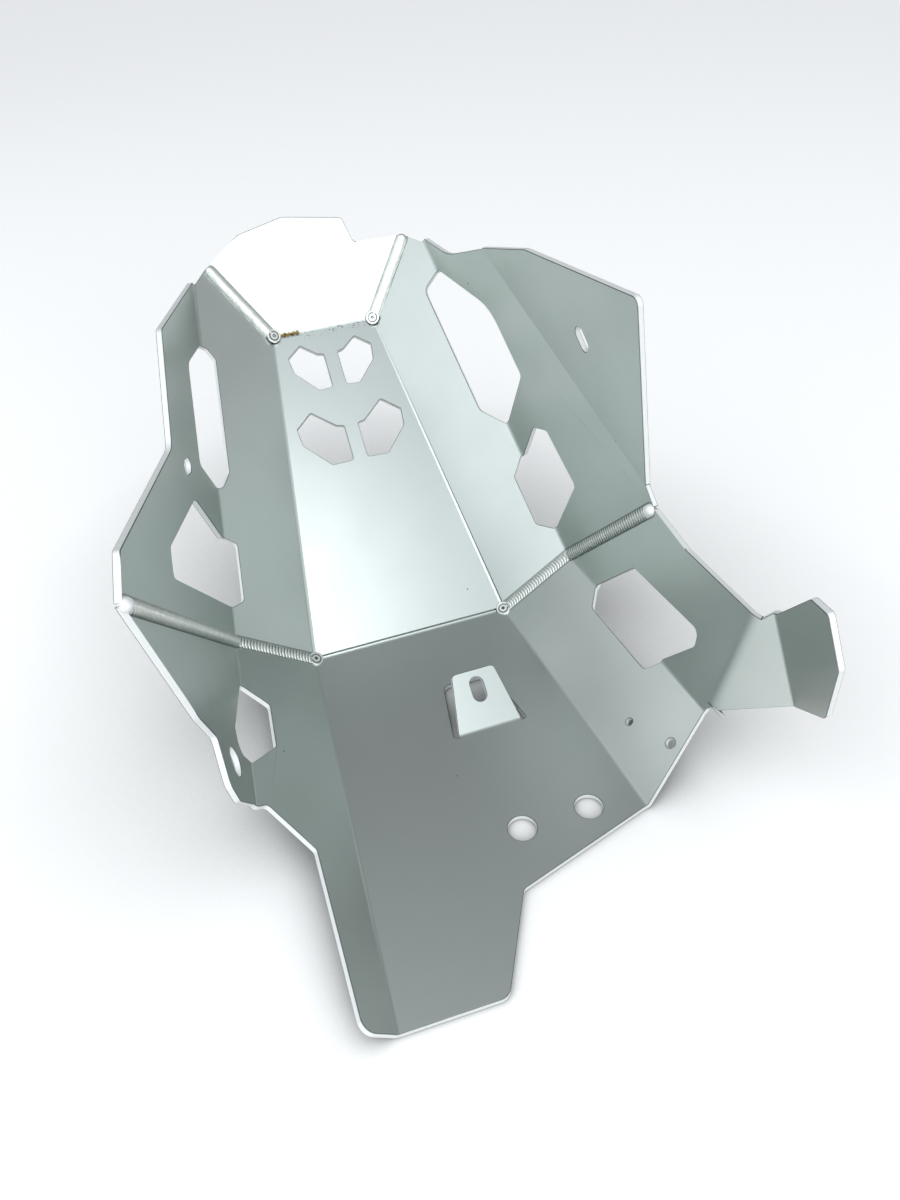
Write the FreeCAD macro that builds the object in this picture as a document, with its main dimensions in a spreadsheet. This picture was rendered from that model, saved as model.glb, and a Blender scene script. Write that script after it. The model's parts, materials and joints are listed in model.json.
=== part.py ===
# Skid plate for a motorcycle: one 4 mm aluminium sheet, folded into a tub with two wings,
# with its open corners closed by weld beads. One solid, in millimetres and degrees.
#
# Axes: X to the right, Y towards the front of the motorcycle, Z up towards the engine.
# Origin: on the underside of the floor, in the middle of its width, behind the fold of the front.
# Every panel is drawn on its inner face, the one towards the engine, from the fold that carries it:
# "across" runs away from that fold and "along" runs beside it, away from the floor's front corner.

import FreeCAD, Part
import Sketcher
import math
import os
import re

os.makedirs("parts", exist_ok=True)
doc = FreeCAD.newDocument("skid_plate")

# Driving sizes, in mm and degrees
SIZES = {
    # place of the front fold ahead of the origin
    "datum_to_front_fold": 150,
    # sheet and folds
    "sheet_thickness": 4,
    "bend_radius": 4,
    "arm_bend_radius": 14,
    "corner_relief": 3.5,
    "cut_corner": 4,
    # tub: floor, front, crest and the strips beside them
    "floor_half_width": 75,
    "floor_splay": 4,
    "front_length": 256,
    "crest_half_width": 41,
    "front_slope": 40,
    "crest_bend": 28,
    "upper_strip_bend": 32,
    "lower_strip_bend": 38.5,
    "inner_seam_length": 66,
    # wings
    "upper_wing_bend": 48.5,
    "lower_wing_bend": 42,
    "left_seam_length": 227,
    "right_seam_length": 118.5,
    "front_seam_length": 69,
    # weld beads
    "seam_half_gap": 0.5,
    "bead_radius": 4,
    # floor, seen from above: the left side is longer than the right
    "left_floor_length": 284,
    "right_floor_length": 204,
    "tail_side": -34,
    "tail_rear": -285,
    "tail_radius": 8,
    "inner_corner_side": -3,
    "inner_corner_rear": -229.5,
    "drain_hole": 18,
    "drain_hole_left": 11.7,
    "drain_hole_pitch": 44.3,
    "drain_hole_rear": -191,
    # lug bent up out of the floor, and the window that it leaves
    "lug_middle": 22.4,
    "lug_fold_rear": -108.6,
    "lug_bend": 35,
    "lug_root_half_width": 22.4,
    "lug_tip_half_width": 15.3,
    "lug_length": 41,
    "lug_corner": 3.5,
    "lug_slot_middle": 27.2,
    "lug_slot_length": 17.3,
    "lug_slot_width": 9.5,
    "window_root_half_width": 26.5,
    "window_tip_half_width": 17.5,
    "window_length": 48,
    "window_corner": 6,
    # crest outline: height over its fold and place to the side of the middle
    "crest_left_height": 77.4,
    "crest_left_side": -50,
    "crest_top_height": 85,
    "crest_top_side": -14.4,
    "crest_step_height": 78,
    "crest_step_side": 31.5,
    "crest_notch_height": 59,
    "crest_notch_side": 37,
    "crest_round": 14,
    # vents in the front, the same on both sides of the middle: up the slope, and to the side
    "vent_rib_half_width": 5.7,
    "high_vent_top": 244.8,
    "high_vent_top_side": 22.2,
    "high_vent_step": 235.5,
    "high_vent_step_side": 10.6,
    "high_vent_rib_top": 234.5,
    "high_vent_rib_bottom": 206.3,
    "high_vent_bottom": 205.7,
    "high_vent_bottom_side": 16.4,
    "high_vent_outer_bottom": 222.9,
    "high_vent_outer_bottom_side": 32,
    "high_vent_outer_top": 235.7,
    "high_vent_outer_top_side": 33.6,
    "low_vent_top": 188.6,
    "low_vent_top_side": 28.4,
    "low_vent_step": 174.2,
    "low_vent_step_side": 11.6,
    "low_vent_rib_top": 173,
    "low_vent_rib_bottom": 144.2,
    "low_vent_bottom": 143.7,
    "low_vent_bottom_side": 22.5,
    "low_vent_outer_bottom": 163.6,
    "low_vent_outer_bottom_side": 40.7,
    "low_vent_outer_top": 177.2,
    "low_vent_outer_top_side": 42,
    "tight_corner": 1.5,
    "easy_corner": 2.5,
    # left upper strip and wing
    "left_wing_top": 272,
    "left_shoulder_across": 105.6,
    "left_shoulder_along": 182.4,
    "left_shoulder_radius": 7,
    "left_waist_across": 112,
    "left_waist_along": 103,
    "left_waist_radius": 14,
    "left_tip_across": 222.5,
    "left_tip_along": 15,
    "left_slot_rear": 112.5,
    "left_slot_front": 221.5,
    "left_slot_foot_depth": 5,
    "left_slot_foot_slant": 0.8,
    "left_slot_strip_depth": 11.3,
    "left_slot_strip_rear_slant": 12.6,
    "left_slot_strip_front_slant": 8.2,
    "left_slot_wing_front_across": 44.8,
    "left_slot_wing_front_along": 188,
    "left_slot_wing_rear_across": 44.2,
    "left_slot_wing_rear_along": 115.3,
    "left_slot_wing_radius": 14,
    "left_window_rear": 25,
    "left_window_front": 75,
    "left_window_strip_depth": 10.8,
    "left_window_strip_slant": 4,
    "left_window_bulge_across": 69.2,
    "left_window_bulge_along": 84.3,
    "left_window_bulge_radius": 18,
    "left_window_tip_across": 137.8,
    "left_window_tip_front": 36.5,
    "left_window_tip_rear": 18.6,
    "left_window_tip_radius": 6,
    "left_wing_slot_across": 78.5,
    "left_wing_slot_along": 102.8,
    "left_wing_slot_turn": 28,
    "left_wing_slot_length": 18.5,
    "left_wing_slot_width": 9.5,
    # left lower strip and wing
    "left_tab_depth": 20.5,
    "left_tab_waist_across": 28.8,
    "left_tab_waist_along": 175.5,
    "left_tab_top_across": 57.5,
    "left_tab_top_along": 149.3,
    "left_lower_wing_rear": 144.5,
    "left_ear_across": 27,
    "left_ear_along": 160.5,
    "left_ear_end_across": 41.5,
    "left_ear_end_along": 159.5,
    "left_ear_radius": 7,
    "left_ear_foot_across": 56.5,
    "left_ear_foot_along": 137.5,
    "left_hip_across": 82,
    "left_hip_along": 145,
    "left_hip_radius": 20,
    "left_ear_hole": 17.5,
    "left_ear_hole_across": 28.5,
    "left_ear_hole_along": 132.8,
    "left_low_window_front": 44.5,
    "left_low_window_rear": 110.9,
    "left_low_window_strip_depth": 20.2,
    "left_low_window_strip_front_slant": 10.4,
    "left_low_window_strip_rear_slant": 18.9,
    "left_low_window_side_across": 23.2,
    "left_low_window_side_along": 98.5,
    "left_low_window_side_radius": 16,
    "left_low_window_rear_across": 18.5,
    "left_low_window_rear_along": 117.8,
    "left_low_window_rear_radius": 8,
    # right upper strip and wing
    "right_wing_top": 275,
    "right_shoulder_across": 23,
    "right_shoulder_along": 246,
    "right_shoulder_radius": 45,
    "right_slot_rear": 113.5,
    "right_slot_front": 246.8,
    "right_slot_strip_depth": 15.6,
    "right_slot_strip_slant": 7,
    "right_slot_strip_rear_slant": 19,
    "right_slot_strip_radius": 8,
    "right_slot_wing_front_across": 44,
    "right_slot_wing_front_along": 187,
    "right_slot_wing_rear_across": 44.4,
    "right_slot_wing_rear_along": 130,
    "right_slot_wing_radius": 45,
    "right_window_rear": 23.6,
    "right_window_front": 84.5,
    "right_window_strip_depth": 12.8,
    "right_window_strip_front_slant": 11.5,
    "right_window_strip_rear_slant": 8.7,
    "right_window_peak_across": 30,
    "right_window_peak_along": 94.5,
    "right_window_front_across": 43.8,
    "right_window_front_along": 85,
    "right_window_rear_across": 47.2,
    "right_window_rear_along": 39,
    # flap on the right upper wing
    "flap_fold_across": 123.3,
    "flap_fold_turn": 14.1,
    "flap_fold_start": 10.3,
    "flap_fold_end": 227,
    "flap_bend": 10,
    "flap_tip_across": 108.5,
    "flap_tip_along": 69.6,
    "flap_tip_radius": 5,
    "flap_back_across": 44.4,
    "flap_back_along": 177.5,
    "flap_back_radius": 14,
    "flap_slot_across": 38,
    "flap_slot_along": 102.8,
    "flap_slot_turn": 22,
    "flap_slot_length": 16.8,
    "flap_slot_width": 9.5,
    # right lower strip and wing
    "right_lower_wing_rear": 174.7,
    "right_neck_across": 82,
    "right_neck_along": 118,
    "right_neck_radius": 30,
    "right_low_window_front": 41.8,
    "right_low_window_rear": 126.3,
    "right_low_window_strip_depth": 12.4,
    "right_low_window_strip_front_slant": 11,
    "right_low_window_strip_rear_slant": 4.7,
    "right_low_window_front_across": 40,
    "right_low_window_front_along": 75.5,
    "right_low_window_side_across": 42.6,
    "right_low_window_side_along": 147.5,
    "right_low_window_rear_across": 31,
    "right_low_window_rear_along": 149,
    "right_low_window_radius": 6,
    "screw_hole": 6.75,
    "screw_hole_across": 36,
    "screw_hole_along": 182.9,
    "pilot_hole": 5,
    "pilot_hole_across": 23.7,
    "pilot_hole_along": 151.2,
    # arm on the right lower wing, folded outwards, and its end folded back
    "arm_fold_across": 4.5,
    "arm_fold_along": 177.7,
    "arm_fold_turn": 93.6,
    "arm_fold_start": 1.8,
    "arm_corner_across": 4,
    "arm_corner_along": 176.7,
    "arm_corner_reach": 5.4,
    "corner_overlap": 0.3,
    "arm_fold_length": 77,
    "arm_bend": 30,
    "arm_length": 41.7,
    "arm_rise": 33.6,
    "end_fold_turn": 31.4,
    "end_fold_length": 60.3,
    "end_bend": 40,
    "end_foot_across": 33,
    "end_foot_along": 7.8,
    "end_foot_radius": 8,
    "end_side_across": 55.8,
    "end_side_along": 47.2,
    "end_corner_across": 55.6,
    "end_corner_along": 79,
    "end_top_across": 41.3,
    "end_top_along": 83,
}

# Sizes that follow from the driving ones
FOLLOWING = {
    "front_setback": "bend_radius * tan(front_slope / 2)",
    "crest_setback": "bend_radius * tan(crest_bend / 2)",
    "upper_strip_setback": "bend_radius * tan(upper_strip_bend / 2)",
    "lower_strip_setback": "bend_radius * tan(lower_strip_bend / 2)",
    "upper_wing_setback": "bend_radius * tan(upper_wing_bend / 2)",
    "lower_wing_setback": "bend_radius * tan(lower_wing_bend / 2)",
    "lug_setback": "bend_radius * tan(lug_bend / 2)",
    "flap_setback": "bend_radius * tan(flap_bend / 2)",
    "arm_setback": "(arm_bend_radius + sheet_thickness) * tan(arm_bend / 2)",
    "end_setback": "bend_radius * tan(end_bend / 2)",
    "front_taper": "atan((floor_half_width - crest_half_width) / front_length) / 1deg",
    "front_fold_length": "front_length / cos(front_taper)",
}

sheet = doc.addObject("Spreadsheet::Sheet", "Sizes")


def add_cell(alias, content):
    """Write one named cell under the last one."""
    add_cell.row += 1
    sheet.set("A%d" % add_cell.row, alias)
    sheet.set("B%d" % add_cell.row, content)
    sheet.setAlias("B%d" % add_cell.row, alias)


add_cell.row = 0
for alias, value in SIZES.items():
    add_cell(alias, str(value))
for alias, formula in FOLLOWING.items():
    add_cell(alias, "=" + formula)
doc.recompute()


def bound(formula):
    """A formula of cell names as an expression for other objects. Every cell name has an underscore."""
    return re.sub(r"\b([a-z]+(?:_[a-z]+)+)\b", r"Sizes.\1", str(formula))


plate = doc.addObject("PartDesign::Body", "folded_sheet")


def settle(item):
    """Bring the document up to date and stop at the first object that fails."""
    doc.recompute()
    if "Invalid" in item.State or "Error" in item.State:
        raise RuntimeError("%s failed: %s" % (item.Name, item.getStatusString()))
    if item.isDerivedFrom("PartDesign::Feature") and (item.Shape.isNull() or len(item.Shape.Solids) != 1):
        raise RuntimeError(item.Name + " doesn't leave one solid")


def add_frame(name, parent, across, along, turn, bend):
    """Inner face of the next panel: its origin is on the fold, X runs across the panel, Z is inwards."""
    frame = plate.newObject("PartDesign::CoordinateSystem", name)
    place = "placement(vector(%s; %s; 0); rotation(vector(0; 0; 1); %s))" % (across, along, turn)
    fold = "placement(vector(0; 0; 0); rotation(vector(0; 1; 0); -(%s)))" % bend
    frame.setExpression("Placement", "%s.Placement * %s * %s" % (parent.Name, bound(place), bound(fold)))
    settle(frame)
    return frame


def round_corner(corner, before, after, radius):
    """Start, middle and end of the arc that rounds a corner."""
    to_before = (before - corner).normalize()
    to_after = (after - corner).normalize()
    half_angle = to_before.getAngle(to_after) / 2
    leg = radius / math.tan(half_angle)
    middle = (to_before + to_after).normalize() * (radius / math.sin(half_angle) - radius)
    return corner + to_before * leg, corner + middle, corner + to_after * leg


def rising_arc(start, middle, end):
    """Arc through three points that always turns to the left, as a sketch keeps it."""
    if (middle - start).cross(end - middle).z < 0:
        start, end = end, start
    return Part.Arc(start, middle, end)


def draw_outline(sketch, corners, hand=1):
    """Closed outline through corners (across, along, radius), bound to cells. A radius of 0 is sharp."""
    corners = [(bound(x), bound("%d * (%s)" % (hand, y)), bound(r)) for x, y, r in corners]
    value = [[float(sketch.evalExpression(item)) for item in corner] for corner in corners]
    points = [FreeCAD.Vector(x, y, 0) for x, y, r in value]
    count = len(points)
    arcs = {}
    for i in range(count):
        if value[i][2] > 0:
            arcs[i] = round_corner(points[i], points[i - 1], points[(i + 1) % count], value[i][2])
    first_line = sketch.GeometryCount
    lines = []
    for i in range(count):
        start = arcs[i][2] if i in arcs else points[i]
        nxt = (i + 1) % count
        end = arcs[nxt][0] if nxt in arcs else points[nxt]
        lines.append(Part.LineSegment(start, end))
    marks = [Part.Point(point) for point in points]
    sketch.addGeometry(lines + marks + [rising_arc(*arcs[i]) for i in arcs], False)
    first_mark = first_line + count
    first_arc = first_mark + count
    rules = []
    formulas = []
    for i in range(count):
        before = first_line + (i - 1) % count
        after = first_line + i
        mark = first_mark + i
        if i in arcs:
            sketch.setConstruction(mark, True)
            arc = first_arc + list(arcs).index(i)
            starts_first = sketch.Geometry[arc].StartPoint.distanceToPoint(arcs[i][0]) < 1e-6
            near, far = (1, 2) if starts_first else (2, 1)
            rules.append(Sketcher.Constraint("Tangent", before, 2, arc, near))
            rules.append(Sketcher.Constraint("Tangent", arc, far, after, 1))
            rules.append(Sketcher.Constraint("PointOnObject", mark, 1, before))
            rules.append(Sketcher.Constraint("PointOnObject", mark, 1, after))
            formulas.append((len(rules), corners[i][2]))
            rules.append(Sketcher.Constraint("Radius", arc, value[i][2]))
        else:
            sketch.setConstruction(mark, True)
            rules.append(Sketcher.Constraint("Coincident", before, 2, after, 1))
            rules.append(Sketcher.Constraint("Coincident", mark, 1, after, 1))
        formulas.append((len(rules), corners[i][0]))
        rules.append(Sketcher.Constraint("DistanceX", -1, 1, mark, 1, points[i].x))
        formulas.append((len(rules), corners[i][1]))
        rules.append(Sketcher.Constraint("DistanceY", -1, 1, mark, 1, points[i].y))
    first_rule = sketch.ConstraintCount
    sketch.addConstraint(rules)
    for index, formula in formulas:
        sketch.setExpression("Constraints[%d]" % (first_rule + index), formula)


def add_sketch(name, frame):
    """Empty sketch on the inner face of a panel."""
    sketch = plate.newObject("Sketcher::SketchObject", name)
    sketch.setExpression("Placement", frame.Name + ".Placement")
    doc.recompute()
    return sketch


def add_panel(name, frame, corners, hand=1):
    """Flat panel of the sheet, drawn on its inner face and padded outwards."""
    sketch = add_sketch(name + "_outline", frame)
    draw_outline(sketch, corners, hand)
    pad = plate.newObject("PartDesign::Pad", name)
    pad.Profile = sketch
    pad.setExpression("Length", bound("sheet_thickness"))
    pad.Reversed = True
    pad.Refine = False
    settle(pad)


def add_bend(name, frame, spans, bend, hand=1, outwards=False):
    """Bend that carries a panel: the sheet's section at the panel's root, turned back to the panel before."""
    if outwards:
        reach = "((arm_bend_radius + sheet_thickness) * tan((%s) / 2))" % bend
        height = "-(arm_bend_radius + sheet_thickness)"
        low = "arm_bend_radius"
        high = "arm_bend_radius + sheet_thickness"
    else:
        reach = "(bend_radius * tan((%s) / 2))" % bend
        height = "bend_radius"
        low = "-(bend_radius + sheet_thickness)"
        high = "-(bend_radius)"
    section = plate.newObject("Sketcher::SketchObject", name + "_section")
    # The sketch's X runs along the fold, its Y is the panel's normal and its origin is the bend's axis.
    place = "placement(vector(%s; 0; %s); rotation(vector(1; 1; 1); 120))" % (reach, height)
    section.setExpression("Placement", "%s.Placement * %s" % (frame.Name, bound(place)))
    doc.recompute()
    for start, end in spans:
        near = "%d * (%s)" % (hand, start)
        far = "%d * (%s)" % (hand, end)
        draw_outline(section, [(near, low, 0), (far, low, 0), (far, high, 0), (near, high, 0)])
    turn = plate.newObject("PartDesign::Revolution", name)
    turn.Profile = section
    turn.ReferenceAxis = (section, ["H_Axis"])
    turn.setExpression("Angle", bound(bend))
    turn.Reversed = outwards
    turn.Refine = False
    settle(turn)


def add_cut(name, frame, hand=1, outlines=(), circles=(), slots=()):
    """Openings inside one panel, cut through the sheet."""
    volume = plate.Tip.Shape.Volume
    sketch = add_sketch(name + "_outline", frame)
    for outline in outlines:
        draw_outline(sketch, outline, hand)
    for circle in circles:
        draw_circle(sketch, circle, hand)
    for slot in slots:
        draw_slot(sketch, slot, hand)
    pocket = plate.newObject("PartDesign::Pocket", name)
    pocket.Profile = sketch
    pocket.setExpression("Length", bound("sheet_thickness"))
    pocket.Refine = False
    settle(pocket)
    if pocket.Shape.Volume >= volume:
        raise RuntimeError(name + " removes nothing")


def draw_circle(sketch, circle, hand):
    """Round hole: diameter, across and along."""
    size, across, along = circle
    along = "%d * (%s)" % (hand, along)
    x, y, diameter = [float(sketch.evalExpression(bound(item))) for item in (across, along, size)]
    ring = Part.Circle(FreeCAD.Vector(x, y, 0), FreeCAD.Vector(0, 0, 1), diameter / 2)
    hole = sketch.addGeometry(ring, False)
    rules = [
        Sketcher.Constraint("Diameter", hole, diameter),
        Sketcher.Constraint("DistanceX", -1, 1, hole, 3, x),
        Sketcher.Constraint("DistanceY", -1, 1, hole, 3, y),
    ]
    first_rule = sketch.ConstraintCount
    sketch.addConstraint(rules)
    for offset, formula in enumerate((size, across, along)):
        sketch.setExpression("Constraints[%d]" % (first_rule + offset), bound(formula))


def draw_slot(sketch, slot, hand):
    """Slot with round ends: overall length, width, its middle's across and along, and which way it runs."""
    length, width, across, along, way = slot
    along = "%d * (%s)" % (hand, along)
    half = "(%s - %s) / 2" % (length, width)
    if way == "across":
        centres = [("%s - %s" % (across, half), along), ("%s + %s" % (across, half), along)]
        side = FreeCAD.Vector(0, 1, 0)
    else:
        centres = [(across, "%s - %s" % (along, half)), (across, "%s + %s" % (along, half))]
        side = FreeCAD.Vector(-1, 0, 0)
    places = [[float(sketch.evalExpression(bound(item))) for item in centre] for centre in centres]
    low, high = [FreeCAD.Vector(x, y, 0) for x, y in places]
    radius = float(sketch.evalExpression(bound(width))) / 2
    onward = (high - low).normalize() * radius
    side = side * radius
    sketch.addGeometry([
        Part.Arc(high - side, high + onward, high + side),
        Part.LineSegment(high + side, low + side),
        Part.Arc(low + side, low - onward, low - side),
        Part.LineSegment(low - side, high - side),
    ], False)
    right, top, left, bottom = range(sketch.GeometryCount - 4, sketch.GeometryCount)
    rules = [
        Sketcher.Constraint("Tangent", right, 2, top, 1),
        Sketcher.Constraint("Tangent", top, 2, left, 1),
        Sketcher.Constraint("Tangent", left, 2, bottom, 1),
        Sketcher.Constraint("Tangent", bottom, 2, right, 1),
        Sketcher.Constraint("Equal", right, left),
        Sketcher.Constraint("Diameter", right, 2 * radius),
        Sketcher.Constraint("DistanceX", -1, 1, left, 3, low.x),
        Sketcher.Constraint("DistanceY", -1, 1, left, 3, low.y),
        Sketcher.Constraint("DistanceX", -1, 1, right, 3, high.x),
        Sketcher.Constraint("DistanceY", -1, 1, right, 3, high.y),
    ]
    first_rule = sketch.ConstraintCount
    sketch.addConstraint(rules)
    formulas = (width, *centres[0], *centres[1])
    for offset, formula in enumerate(formulas):
        sketch.setExpression("Constraints[%d]" % (first_rule + 5 + offset), bound(formula))


def on_line(start_across, start_along, turn, distance, inset):
    """Point on a line that leaves its start at an angle, moved to the left of the line by the inset."""
    across = "%s + (%s) * cos(%s) - (%s) * sin(%s)" % (start_across, distance, turn, inset, turn)
    along = "%s + (%s) * sin(%s) + (%s) * cos(%s)" % (start_along, distance, turn, inset, turn)
    return across, along


def meeting_angle(frame, other, hand, outward):
    """Angle in a panel, from its across direction, at which it meets another panel's plane."""
    turn = frame.Placement.Rotation
    normal = turn.multVec(FreeCAD.Vector(0, 0, 1))
    meeting = normal.cross(other.Placement.Rotation.multVec(FreeCAD.Vector(0, 0, 1)))
    across = meeting.dot(turn.multVec(FreeCAD.Vector(1, 0, 0)))
    along = meeting.dot(turn.multVec(FreeCAD.Vector(0, 1, 0))) * hand
    if (along if outward == "along" else across) < 0:
        across = -across
        along = -along
    return math.degrees(math.atan2(along, across))


# Frames of the tub. The floor's frame is on its inner face, so its underside is at Z = 0.
base = plate.newObject("PartDesign::CoordinateSystem", "floor_frame")
base_place = "placement(vector(0; datum_to_front_fold; sheet_thickness); rotation(vector(0; 0; 1); 0))"
base.setExpression("Placement", bound(base_place))
doc.recompute()
front = add_frame("front_frame", base, "0", "0", "90", "front_slope")
crest = add_frame("crest_frame", front, "front_length", "0", "0", "crest_bend")
frames = {}
for name, side in (("left", -1), ("right", 1)):
    frames[name, "upper_strip"] = add_frame(
        name + "_upper_strip_frame", front, "0", "%d * floor_half_width" % -side,
        "%d * (90 - front_taper)" % -side, "upper_strip_bend")
    frames[name, "lower_strip"] = add_frame(
        name + "_lower_strip_frame", base, "%d * floor_half_width" % side, "0",
        "90 - %d * (90 - floor_splay)" % side, "lower_strip_bend")

# The seams run where two panels' planes meet, and both sides of the tub are alike.
upper = frames["right", "upper_strip"]
lower = frames["right", "lower_strip"]
add_cell("inner_seam_in_upper_strip", str(meeting_angle(upper, lower, 1, "across")))
add_cell("inner_seam_in_lower_strip", str(meeting_angle(lower, upper, -1, "across")))
add_cell("front_seam_in_crest", str(meeting_angle(crest, upper, -1, "along")))
add_cell("front_seam_in_upper_strip", str(meeting_angle(upper, crest, 1, "across")))
add_cell("upper_strip_width", "=inner_seam_length * cos(inner_seam_in_upper_strip)")
add_cell("upper_seam_rise", "=inner_seam_length * sin(inner_seam_in_upper_strip)")
add_cell("lower_strip_width", "=inner_seam_length * cos(inner_seam_in_lower_strip)")
add_cell("lower_seam_rise", "=inner_seam_length * sin(inner_seam_in_lower_strip)")
doc.recompute()
for name, side in (("left", -1), ("right", 1)):
    frames[name, "upper_wing"] = add_frame(
        name + "_upper_wing_frame", frames[name, "upper_strip"], "upper_strip_width",
        "%d * upper_seam_rise" % side, "0", "upper_wing_bend")
    frames[name, "lower_wing"] = add_frame(
        name + "_lower_wing_frame", frames[name, "lower_strip"], "lower_strip_width",
        "%d * lower_seam_rise" % -side, "0", "lower_wing_bend")
upper = frames["right", "upper_wing"]
lower = frames["right", "lower_wing"]
add_cell("outer_seam_in_upper_wing", str(meeting_angle(upper, lower, 1, "across")))
add_cell("outer_seam_in_lower_wing", str(meeting_angle(lower, upper, -1, "across")))
doc.recompute()

# Floor, with its window, lug and drain holes
left_fold = ("-floor_half_width", "0", "-90 - floor_splay")
right_fold = ("floor_half_width", "0", "floor_splay - 90")
floor_corners = [
    ("corner_relief - floor_half_width", "-front_setback", 0),
    (*on_line(*left_fold, "corner_relief", "lower_strip_setback"), 0),
    (*on_line(*left_fold, "left_floor_length", "lower_strip_setback"), 0),
    ("tail_side", "tail_rear", "tail_radius"),
    ("inner_corner_side", "inner_corner_rear", "cut_corner"),
    (*on_line(*right_fold, "right_floor_length", "-lower_strip_setback"), 0),
    (*on_line(*right_fold, "corner_relief", "-lower_strip_setback"), 0),
    ("floor_half_width - corner_relief", "-front_setback", 0),
]
add_panel("floor", base, floor_corners)
window_rear = "lug_fold_rear - lug_setback"
window_front = "lug_fold_rear + window_length"
floor_window = [
    ("lug_middle - window_root_half_width", window_rear, "easy_corner"),
    ("lug_middle + window_root_half_width", window_rear, "easy_corner"),
    ("lug_middle + window_tip_half_width", window_front, "window_corner"),
    ("lug_middle - window_tip_half_width", window_front, "window_corner"),
]
drain_holes = [
    ("drain_hole", "drain_hole_left", "drain_hole_rear"),
    ("drain_hole", "drain_hole_left + drain_hole_pitch", "drain_hole_rear"),
]
add_cut("floor_window", base, outlines=[floor_window], circles=drain_holes)
lug = add_frame("lug_frame", base, "lug_middle", "lug_fold_rear", "90", "lug_bend")
add_bend("lug_fold", lug, [("-lug_root_half_width", "lug_root_half_width")], "lug_bend")
lug_corners = [
    ("lug_setback", "-lug_root_half_width", 0),
    ("lug_length", "-lug_tip_half_width", "lug_corner"),
    ("lug_length", "lug_tip_half_width", "lug_corner"),
    ("lug_setback", "lug_root_half_width", 0),
]
add_panel("lug", lug, lug_corners)
add_cut("lug_slot", lug, slots=[("lug_slot_length", "lug_slot_width", "lug_slot_middle", "0", "across")])

# Front with its four vents, and the crest above it. Their "along" runs to the right of the middle.
add_bend("front_fold", front, [("corner_relief - floor_half_width", "floor_half_width - corner_relief")],
         "front_slope")
left_side = ("0", "-floor_half_width", "front_taper")
right_side = ("0", "floor_half_width", "-front_taper")
front_top = "front_fold_length - corner_relief"
front_corners = [
    ("front_setback", "corner_relief - floor_half_width", 0),
    ("front_setback", "floor_half_width - corner_relief", 0),
    (*on_line(*right_side, "corner_relief", "-upper_strip_setback"), 0),
    (*on_line(*right_side, front_top, "-upper_strip_setback"), 0),
    ("front_length - crest_setback", "crest_half_width - corner_relief", 0),
    ("front_length - crest_setback", "corner_relief - crest_half_width", 0),
    (*on_line(*left_side, front_top, "upper_strip_setback"), 0),
    (*on_line(*left_side, "corner_relief", "upper_strip_setback"), 0),
]
add_panel("front", front, front_corners, -1)


def vent(level, side):
    """Corners of one vent: high or low, left (-1) or right (1) of the middle rib."""
    rib = "%d * vent_rib_half_width" % side
    return [
        (level + "_vent_top", "%d * %s_vent_top_side" % (side, level), "tight_corner"),
        (level + "_vent_step", "%d * %s_vent_step_side" % (side, level), "tight_corner"),
        (level + "_vent_rib_top", rib, "tight_corner"),
        (level + "_vent_rib_bottom", rib, "easy_corner"),
        (level + "_vent_bottom", "%d * %s_vent_bottom_side" % (side, level), "easy_corner"),
        (level + "_vent_outer_bottom", "%d * %s_vent_outer_bottom_side" % (side, level), "easy_corner"),
        (level + "_vent_outer_top", "%d * %s_vent_outer_top_side" % (side, level), "tight_corner"),
    ]


add_cut("front_vents", front, -1, [vent(level, side) for level in ("high", "low") for side in (-1, 1)])
add_bend("crest_fold", crest, [("corner_relief - crest_half_width", "crest_half_width - corner_relief")],
         "crest_bend")
left_seam = ("0", "-crest_half_width", "-front_seam_in_crest")
right_seam = ("0", "crest_half_width", "front_seam_in_crest")
crest_corners = [
    ("crest_setback", "corner_relief - crest_half_width", 0),
    ("crest_setback", "crest_half_width - corner_relief", 0),
    (*on_line(*right_seam, "corner_relief", "-seam_half_gap"), 0),
    (*on_line(*right_seam, "front_seam_length", "-seam_half_gap"), 0),
    ("crest_notch_height", "crest_notch_side", "cut_corner"),
    ("crest_step_height", "crest_step_side", "cut_corner"),
    ("crest_top_height", "crest_top_side", "crest_round"),
    ("crest_left_height", "crest_left_side", "crest_round"),
    (*on_line(*left_seam, "front_seam_length", "seam_half_gap"), 0),
    (*on_line(*left_seam, "corner_relief", "seam_half_gap"), 0),
]
add_panel("crest", crest, crest_corners, -1)


# Strips and wings share their root at the seams: the fold to the panel before, then the seam
def strip_root(setback, seam, width_less_setback, rise):
    """Corners of a strip beside the inner seam, from the carrying fold to the outer fold."""
    line = ("0", "0", seam)
    return [
        (setback, "corner_relief", 0),
        (*on_line(*line, "corner_relief", "seam_half_gap"), 0),
        (*on_line(*line, "inner_seam_length - corner_relief", "seam_half_gap"), 0),
        (width_less_setback, rise + " + corner_relief", 0),
    ]


def wing_root(setback, seam, length, inset):
    """Corners of a wing beside the outer seam, from the carrying fold to the seam's end."""
    line = ("0", "0", seam)
    return [
        (setback, "corner_relief", 0),
        (*on_line(*line, "corner_relief", inset), 0),
        (*on_line(*line, length, inset), 0),
    ]


upper_edge = "upper_strip_width - upper_wing_setback"
lower_edge = "lower_strip_width - lower_wing_setback"


def on_upper_fold(along):
    """Corner where a cut meets the fold between upper strip and upper wing."""
    return (upper_edge, "upper_seam_rise + " + along, 0)


def on_lower_fold(along):
    """Corner where a cut meets the fold between lower strip and lower wing."""
    return (lower_edge, "lower_seam_rise + " + along, 0)


def beside_upper_fold(depth, along, radius):
    """Corner of a cut in the upper strip, at a depth from the outer fold."""
    return ("upper_strip_width - " + depth, "upper_seam_rise + " + along, radius)


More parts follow.
